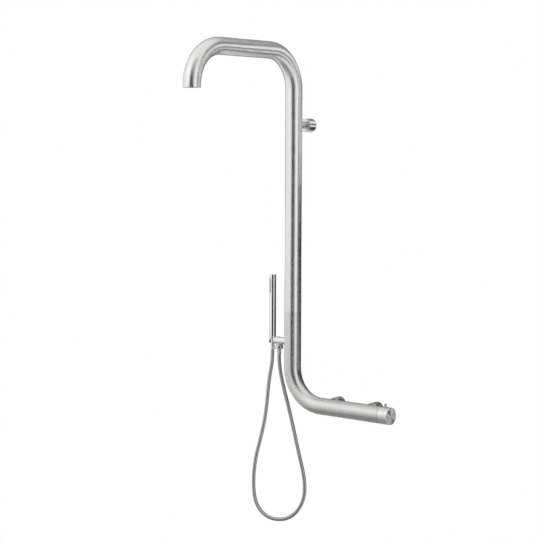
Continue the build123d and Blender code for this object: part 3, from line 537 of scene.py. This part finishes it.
class SHOWER_OT_stage(ShowerPiece, bpy.types.Operator):
    """Floor, soft lights, reflection cards, world and camera"""

    bl_idname = "shower.stage"
    bl_label = "Stage"

    def make(self, scene):
        stage = scene.shower_stage
        scene.view_settings.view_transform = "Standard"
        self.camera()
        self.world(stage)
        self.floor(stage)
        self.light(*LEFT_LIGHT, stage.left_light)
        self.light(*RIGHT_LIGHT, stage.right_light)
        for card in CARDS:
            self.card(stage, *card)

    def camera(self):
        """The camera where the photograph was taken from."""
        data = bpy.data.cameras.new("Camera")
        data.lens = CAMERA_LENS
        data.sensor_width = CAMERA_SENSOR
        data.clip_end = CAMERA_REACH
        camera = bpy.data.objects.new("Camera", data)
        bpy.context.scene.collection.objects.link(camera)
        turn = Euler((math.radians(90.0 - CAMERA_DOWN), 0.0, math.radians(CAMERA_TURN))).to_matrix()
        roll = Matrix.Rotation(math.radians(CAMERA_ROLL), 3, "Z")
        camera.rotation_euler = (turn @ roll).to_euler()
        camera.location = CAMERA_PLACE
        bpy.context.scene.camera = camera

    def world(self, stage):
        """Plain white to the camera and in reflections, and a soft dome for the rest."""
        world = bpy.data.worlds.new("Studio")
        bpy.context.scene.world = world
        world.use_nodes = True
        tree = world.node_tree
        tree.nodes.clear()
        strength = tree.nodes.new("ShaderNodeMapRange")
        tree.links.new(self.seen(tree), strength.inputs["Value"])
        strength.inputs["To Min"].default_value = stage.dome
        strength.inputs["To Max"].default_value = 1.0
        shade = tree.nodes.new("ShaderNodeBackground")
        shade.inputs["Color"].default_value = (1.0, 1.0, 1.0, 1.0)
        tree.links.new(strength.outputs["Result"], shade.inputs["Strength"])
        output = tree.nodes.new("ShaderNodeOutputWorld")
        tree.links.new(shade.outputs["Background"], output.inputs["Surface"])

    def seen(self, tree):
        """1 for what the camera, a reflection or glass shows, and 0 for the light on the shower."""
        rays = tree.nodes.new("ShaderNodeLightPath")
        either = rays.outputs["Is Camera Ray"]
        for other in ("Is Glossy Ray", "Is Transmission Ray"):
            node = tree.nodes.new("ShaderNodeMath")
            node.operation = "MAXIMUM"
            tree.links.new(either, node.inputs[0])
            tree.links.new(rays.outputs[other], node.inputs[1])
            either = node.outputs[0]
        return either

    def floor(self, stage):
        mesh = bmesh.new()
        bmesh.ops.create_grid(mesh, x_segments=1, y_segments=1, size=FLOOR_HALF_SIDE)
        bmesh.ops.translate(mesh, verts=mesh.verts, vec=(0.0, 0.0, -stage.floor_height))
        data = bpy.data.meshes.new("Floor")
        mesh.to_mesh(data)
        mesh.free()
        floor = bpy.data.objects.new("Floor", data)
        bpy.context.scene.collection.objects.link(floor)
        material = bpy.data.materials.new("Floor")
        material.use_nodes = True
        tree = material.node_tree
        shader = tree.nodes["Principled BSDF"]
        shader.inputs["Base Color"].default_value = (*stage.floor, 1.0)
        shader.inputs["Roughness"].default_value = FLOOR_ROUGHNESS
        white = tree.nodes.new("ShaderNodeEmission")
        both = tree.nodes.new("ShaderNodeMixShader")
        tree.links.new(self.seen(tree), both.inputs[0])
        tree.links.new(shader.outputs[0], both.inputs[1])
        tree.links.new(white.outputs[0], both.inputs[2])
        output = next(n for n in tree.nodes if n.type == "OUTPUT_MATERIAL")
        tree.links.new(both.outputs[0], output.inputs["Surface"])
        data.materials.append(material)

    def towards(self, azimuth, elevation, distance):
        """A point round the shower: azimuth 0 in front of the wall, 90 on its right."""
        a, e = math.radians(azimuth), math.radians(elevation)
        out = Vector((math.sin(a) * math.cos(e), -math.cos(a) * math.cos(e), math.sin(e)))
        return Vector(LIGHT_CENTRE) + out * distance, (-out).to_track_quat("-Z", "Y")

    def light(self, name, azimuth, elevation, distance, size, radiance):
        data = bpy.data.lights.new(name, "AREA")
        data.shape = "RECTANGLE"
        data.size, data.size_y = size
        data.energy = radiance * math.pi * size[0] * size[1]
        light = bpy.data.objects.new(name, data)
        bpy.context.scene.collection.objects.link(light)
        light.location, turn = self.towards(azimuth, elevation, distance)
        light.rotation_euler = turn.to_euler()

    def card(self, stage, name, azimuth, distance, height, tilt, width, length, foot, top):
        """A card that only reflections see, graded from its foot to its top."""
        mesh = bmesh.new()
        bmesh.ops.create_grid(mesh, x_segments=1, y_segments=1, size=0.5, calc_uvs=True)
        uv = mesh.loops.layers.uv.verify()
        for face in mesh.faces:
            for loop in face.loops:
                loop[uv].uv = (loop.vert.co.x + 0.5, loop.vert.co.y + 0.5)
        bmesh.ops.scale(mesh, vec=(width, length, 1.0), verts=mesh.verts)
        data = bpy.data.meshes.new(name)
        mesh.to_mesh(data)
        mesh.free()
        card = bpy.data.objects.new(name, data)
        bpy.context.scene.collection.objects.link(card)
        a = math.radians(azimuth)
        x, y = CARD_CENTRE
        card.location = (x + math.sin(a) * distance, y - math.cos(a) * distance, height)
        card.rotation_euler = (math.radians(90.0 + tilt), 0.0, a)
        material = bpy.data.materials.new(name)
        material.use_nodes = True
        tree = material.node_tree
        tree.nodes.clear()
        place = tree.nodes.new("ShaderNodeUVMap")
        split = tree.nodes.new("ShaderNodeSeparateXYZ")
        tree.links.new(place.outputs[0], split.inputs[0])
        grade = tree.nodes.new("ShaderNodeMapRange")
        tree.links.new(split.outputs["Y"], grade.inputs["Value"])
        grade.inputs["To Min"].default_value = foot * stage.cards
        grade.inputs["To Max"].default_value = top * stage.cards
        shade = tree.nodes.new("ShaderNodeEmission")
        tree.links.new(grade.outputs["Result"], shade.inputs["Strength"])
        output = tree.nodes.new("ShaderNodeOutputMaterial")
        tree.links.new(shade.outputs[0], output.inputs["Surface"])
        data.materials.append(material)
        card.visible_camera = False
        card.visible_diffuse = False
        card.visible_shadow = False


class SHOWER_OT_hose(ShowerPiece, bpy.types.Operator):
    """The hose of wound steel strip"""

    bl_idname = "shower.hose"
    bl_label = "Hose"

    def make(self, scene):
        hose = scene.shower_hose
        curve = hose_curve()
        points = curve_points(curve)
        total = run_length(points)
        turns = round(total / hose.pitch)
        pitch = total / (turns - HIDDEN_TURNS)
        piece = bpy.data.objects.new("metal_hose", strip_turn(pitch, hose))
        bpy.context.scene.collection.objects.link(piece)
        wound = piece.modifiers.new("Turns", "ARRAY")
        wound.count = turns
        wound.use_relative_offset = False
        wound.use_constant_offset = True
        wound.constant_offset_displace = (pitch, 0.0, 0.0)
        wound.use_merge_vertices = True
        wound.merge_threshold = WELD_DISTANCE
        self.apply(piece)
        # Still straight, so what the blend measures is the distance along the hose.
        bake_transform(piece)
        route = bpy.data.objects.new("shower_hose_route", curve)
        bpy.context.scene.collection.objects.link(route)
        bend = piece.modifiers.new("Route", "CURVE")
        bend.object = route
        bend.deform_axis = "POS_X"
        self.apply(piece)
        bpy.data.objects.remove(route)
        for polygon in piece.data.polygons:
            polygon.use_smooth = True
        piece.data.materials.clear()
        piece.data.materials.append(self.strip(hose))
        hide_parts("shower_hose")

    def apply(self, piece):
        """Make what a piece's modifiers show its own mesh."""
        graph = bpy.context.evaluated_depsgraph_get()
        shown = piece.evaluated_get(graph)
        mesh = bpy.data.meshes.new_from_object(shown, preserve_all_data_layers=True, depsgraph=graph)
        piece.modifiers.clear()
        piece.data = mesh

    def strip(self, hose):
        finish = Finish("hose_strip", Metallic=1.0)
        x, y, z = finish.place()
        point = finish.vector(x, y, z)
        fine = finish.noise(point, STRIP_GRAIN_CELLS)
        broad = finish.noise(point, STRIP_TONE_CELLS)
        dark = [channel * STRIP_DEPTH for channel in hose.colour]
        finish.feed(Base_Color=finish.mix(fine * 0.5 + broad * 0.5, dark, hose.colour))
        finish.feed(Roughness=STRIP_ROUGHNESS + (broad - 0.5) * CLOUD_GLOSS)
        finish.bump(fine, STRIP_GRAIN)
        return finish.material


class SHOWER_OT_tubes(ShowerPiece, bpy.types.Operator):
    """The bent tubes with their brushed finish"""

    bl_idname = "shower.tubes"
    bl_label = "Tubes"

    def make(self, scene):
        tubes = scene.shower_tubes
        dress(bent_tube("riser_brushed", tube_run, tubes), "spout_riser_tube")
        # The lower tube is a darker copy of the riser's steel: painted shade, with a tone step at the
        # seam.
        dress(bent_tube("bar_brushed_tone_and_painted_shade", bar_run, tubes, BAR_TONE_AND_PAINTED_SHADE), "mixer_bar_tube")
        dress(turned("sleeve_turned", 2, [(RISER_X, PIPE_Y)], scene.shower_turned), "riser_spigot")


class SHOWER_OT_knob(ShowerPiece, bpy.types.Operator):
    """The control knob with its pin and faced end"""

    bl_idname = "shower.knob"
    bl_label = "Knob"

    def make(self, scene):
        axis = [(PIPE_Y, 0.0)]
        dress(turned("knob_turned", 0, axis, scene.shower_tubes), "control_knob")
        dress(turned("knob_faced", 0, axis, scene.shower_turned, facet=FACE_LEAN), "knob_end_cap")
        dress(turned("pin_turned", 2, [(PIN_X, PIPE_Y)], scene.shower_turned), "knob_pin")


class SHOWER_OT_wall_fixings(ShowerPiece, bpy.types.Operator):
    """Rosettes, posts, unions and the upper bracket"""

    bl_idname = "shower.wall_fixings"
    bl_label = "Wall fixings"

    def make(self, scene):
        axes = [(-INLET_X, 0.0), (INLET_X, 0.0), (RISER_X, BRACKET_Z)]
        steel = scene.shower_turned
        dress(turned("rosette_turned", 1, axes, steel), "rosettes")
        post = turned("post_turned", 1, axes, scene.shower_tubes)
        dress(post, "inlet_posts", "bracket_post", "bracket_weld_boss")
        thread = [(*UNION_THREAD, THREAD_PITCH, THREAD_LEAN)]
        dress(turned("union_threads", 1, axes, steel, threads=thread, colour=BRASS), "wall_unions")
        dress(turned("union_nut_brass", 1, axes, steel, colour=BRASS), "union_nuts")
        dress(moulded("plate_steel", tuple(steel.colour), 0.38, metallic=1.0), "bracket_wall_plate")


class SHOWER_OT_holder(ShowerPiece, bpy.types.Operator):
    """The hand shower's holder and the hose connection under it"""

    bl_idname = "shower.holder"
    bl_label = "Holder"

    def make(self, scene):
        dress(turned("holder_turned", 0, [(PIPE_Y, HOLDER_Z)], scene.shower_polished), "handset_holder")
        steel = scene.shower_turned
        outlet = [(OUTLET_X, PIPE_Y)]
        dress(turned("outlet_turned", 2, outlet, steel), "hose_outlet_nut")
        thread = [(*NIPPLE_THREAD, THREAD_PITCH, THREAD_LEAN)]
        dress(turned("nipple_threads", 2, outlet, steel, threads=thread), "outlet_nipple")
        rings = [(*OUTLET_CRIMP, CRIMP_PITCH, CRIMP_LEAN)]
        dress(turned("outlet_crimp", 2, outlet, steel, threads=rings), "hose_outlet_ferrule")


class SHOWER_OT_hand_shower(ShowerPiece, bpy.types.Operator):
    """The slim hand shower with its strip of nozzles"""

    bl_idname = "shower.hand_shower"
    bl_label = "Hand shower"

    def make(self, scene):
        steel = scene.shower_polished
        axis = [(HAND_X, HAND_Y)]
        dress(turned("hand_turned", 2, axis, steel), "handset_tube", "handset_top_cap", "hose_cone_nut")
        rings = [(*HAND_CRIMP, CRIMP_PITCH, CRIMP_LEAN)]
        dress(turned("hand_crimp", 2, axis, steel, threads=rings), "hose_handset_ferrule")
        dress(moulded("hand_connector", BRASS, 0.34, metallic=1.0), "handset_connector")
        dress(moulded("insert_plastic", (0.93, 0.93, 0.92), 0.42), "handset_spray_insert")
        dress(moulded("strip_rubber", (0.60, 0.60, 0.60), 0.5), "handset_nozzle_strip")


class SHOWER_OT_spray_head(ShowerPiece, bpy.types.Operator):
    """The spray plate, nozzle mat and chamber in the spout's mouth"""

    bl_idname = "shower.spray_head"
    bl_label = "Spray head"

    def make(self, scene):
        dress(turned("plate_turned", 2, [(RISER_X, SPOUT_Y)], scene.shower_turned), "spray_plate")
        dress(moulded("mat_rubber", (0.30, 0.31, 0.32), 0.6), "spray_nozzle_mat")
        dress(moulded("chamber_plastic", (0.78, 0.78, 0.76), 0.42), "spray_chamber")


class SHOWER_OT_valve(ShowerPiece, bpy.types.Operator):
    """The mixer's insides: brass, ceramic, plastic and rubber"""

    bl_idname = "shower.valve"
    bl_label = "Valve"

    def make(self, scene):
        dress(moulded("valve_brass", (0.74, 0.55, 0.28), 0.3, metallic=1.0), "valve_body", "holder_elbow")
        pipe = moulded("feed_pipe_steel", tuple(scene.shower_turned.colour), 0.3, metallic=1.0)
        dress(pipe, "spout_feed_pipe", "handset_feed_pipe")
        dress(moulded("cartridge_plastic", (0.74, 0.74, 0.70), 0.4), "cartridge_housing")
        ceramic = moulded("disc_ceramic", (0.86, 0.85, 0.82), 0.22, grain=0.004)
        dress(ceramic, "ceramic_disc_fixed", "ceramic_disc_turning")
        stem = moulded("stem_brass", (0.72, 0.54, 0.28), 0.28, metallic=1.0)
        dress(stem, "cartridge_stem", "cartridge_nut")
        dress(moulded("guide_plastic", (0.05, 0.05, 0.05), 0.45), "knob_guide_ring")
        check = moulded("check_plastic", (0.03, 0.16, 0.30), 0.42)
        dress(check, "check_valve_shells", "check_poppet_cold", "check_poppet_hot")
        rubber = moulded("seal_rubber", (0.022, 0.022, 0.024), 0.66)
        dress(rubber, "riser_o_rings", "spray_o_ring", "rosette_o_rings", "filter_washers",
              "outlet_washer", "handset_washer")
        screws = moulded("screw_steel", (0.50, 0.50, 0.50), 0.3, metallic=1.0)
        dress(screws, "riser_grub_screws", "spray_grub_screw", "bracket_grub_screw", "knob_screw")


class SHOWER_PT_panel(bpy.types.Panel):
    """The shower's pieces and settings in the sidebar"""

    bl_idname = "SHOWER_PT_panel"
    bl_label = "Outdoor shower"
    bl_space_type = "VIEW_3D"
    bl_region_type = "UI"
    bl_category = "Shower"

    def draw(self, context):
        for operator in OPERATORS:
            self.layout.operator(operator.bl_idname)
        for name in GROUPS:
            group = getattr(context.scene, name)
            box = self.layout.box()
            for key in group.bl_rna.properties.keys():
                if key not in ("name", "rna_type"):
                    box.prop(group, key)


OPERATORS = (
    SHOWER_OT_stage,
    SHOWER_OT_tubes,
    SHOWER_OT_hose,
    SHOWER_OT_knob,
    SHOWER_OT_wall_fixings,
    SHOWER_OT_holder,
    SHOWER_OT_hand_shower,
    SHOWER_OT_spray_head,
    SHOWER_OT_valve,
)
GROUPS = {
    "shower_tubes": ShowerTubes,
    "shower_turned": ShowerTurned,
    "shower_polished": ShowerPolished,
    "shower_hose": ShowerHose,
    "shower_stage": ShowerStage,
}


def register():
    for group in GROUPS.values():
        bpy.utils.register_class(group)
    for name, group in GROUPS.items():
        setattr(bpy.types.Scene, name, bpy.props.PointerProperty(type=group))
    for operator in OPERATORS:
        bpy.utils.register_class(operator)
    bpy.utils.register_class(SHOWER_PT_panel)


def unregister():
    bpy.utils.unregister_class(SHOWER_PT_panel)
    for operator in reversed(OPERATORS):
        bpy.utils.unregister_class(operator)
    for name, group in GROUPS.items():
        delattr(bpy.types.Scene, name)
        bpy.utils.unregister_class(group)


def main():
    register()
    for operator in OPERATORS:
        group, name = operator.bl_idname.split(".")
        getattr(getattr(bpy.ops, group), name)()


if __name__ == "__main__":
    main()
